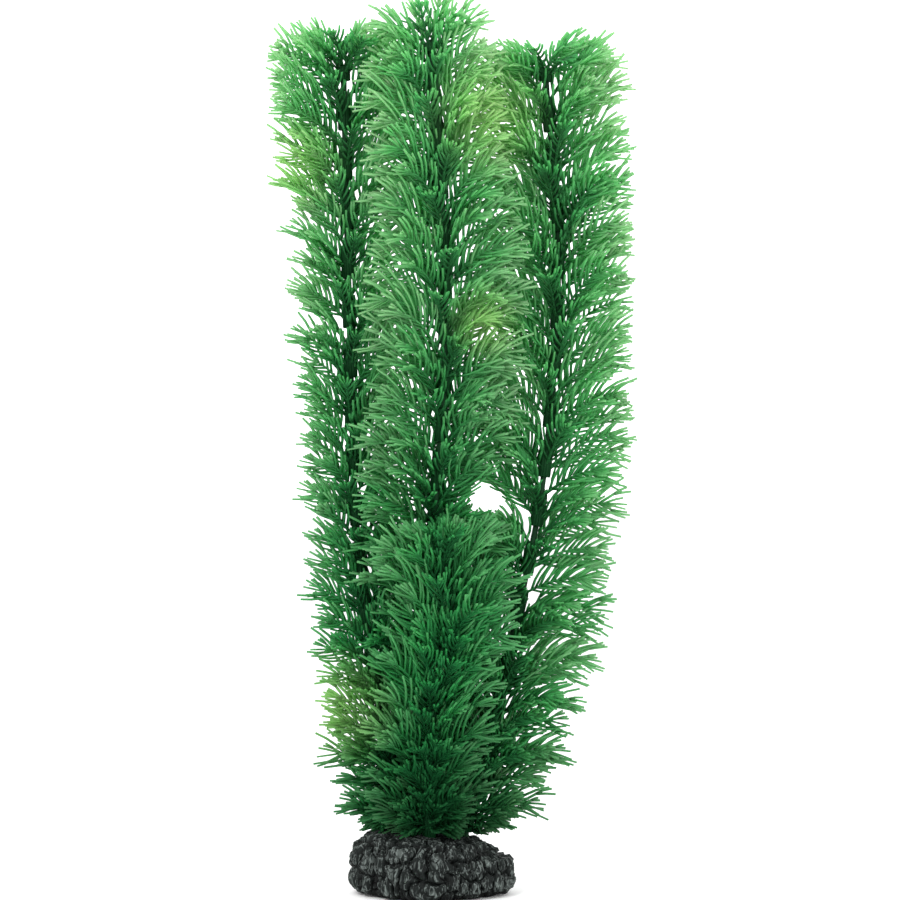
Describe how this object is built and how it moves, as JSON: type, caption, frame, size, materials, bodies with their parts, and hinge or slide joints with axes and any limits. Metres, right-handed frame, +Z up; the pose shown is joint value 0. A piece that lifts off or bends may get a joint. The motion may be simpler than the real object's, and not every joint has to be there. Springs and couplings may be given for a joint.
{
  "type": "artificial aquarium plant",
  "caption": "Artificial aquarium plant: tall plastic stems threaded with whorls of feathery forked fronds, standing in a lumpy rock-like resin base with a flat underside.",
  "frame": {"origin": "middle of the base's flat underside", "axes": "+Z up along the stems, +X to the right and -Y to the front, as in the picture"},
  "size_m": [0.1437, 0.07, 0.3404],
  "materials": {
    "rock": "dark cast resin with grey-green dry-brushed lumps, matte",
    "stem": "dark green moulded plastic, satin",
    "frond": "translucent green soft plastic, satin"
  },
  "bodies": {
    "root": {"rock_base": "rock", "stem_left": "stem", "stem_center": "stem", "stem_right": "stem", "stem_front": "stem", "whorl_left_01": "frond", "whorl_left_02": "frond", "whorl_left_03": "frond", "whorl_left_04": "frond", "whorl_left_05": "frond", "whorl_left_06": "frond", "whorl_left_07": "frond", "whorl_left_08": "frond", "whorl_left_09": "frond", "whorl_left_10": "frond", "whorl_left_11": "frond", "whorl_left_12": "frond", "whorl_left_13": "frond", "whorl_left_14": "frond", "whorl_left_15": "frond", "whorl_left_16": "frond", "whorl_center_01": "frond", "whorl_center_02": "frond", "whorl_center_03": "frond", "whorl_center_04": "frond", "whorl_center_05": "frond", "whorl_center_06": "frond", "whorl_center_07": "frond", "whorl_center_08": "frond", "whorl_center_09": "frond", "whorl_center_10": "frond", "whorl_center_11": "frond", "whorl_center_12": "frond", "whorl_center_13": "frond", "whorl_center_14": "frond", "whorl_center_15": "frond", "whorl_center_16": "frond", "whorl_center_17": "frond", "whorl_right_01": "frond", "whorl_right_02": "frond", "whorl_right_03": "frond", "whorl_right_04": "frond", "whorl_right_05": "frond", "whorl_right_06": "frond", "whorl_right_07": "frond", "whorl_right_08": "frond", "whorl_right_09": "frond", "whorl_right_10": "frond", "whorl_right_11": "frond", "whorl_right_12": "frond", "whorl_right_13": "frond", "whorl_right_14": "frond", "whorl_right_15": "frond", "whorl_right_16": "frond", "whorl_front_01": "frond", "whorl_front_02": "frond", "whorl_front_03": "frond", "whorl_front_04": "frond", "whorl_front_05": "frond", "whorl_front_06": "frond"}
  },
  "joints": []
}
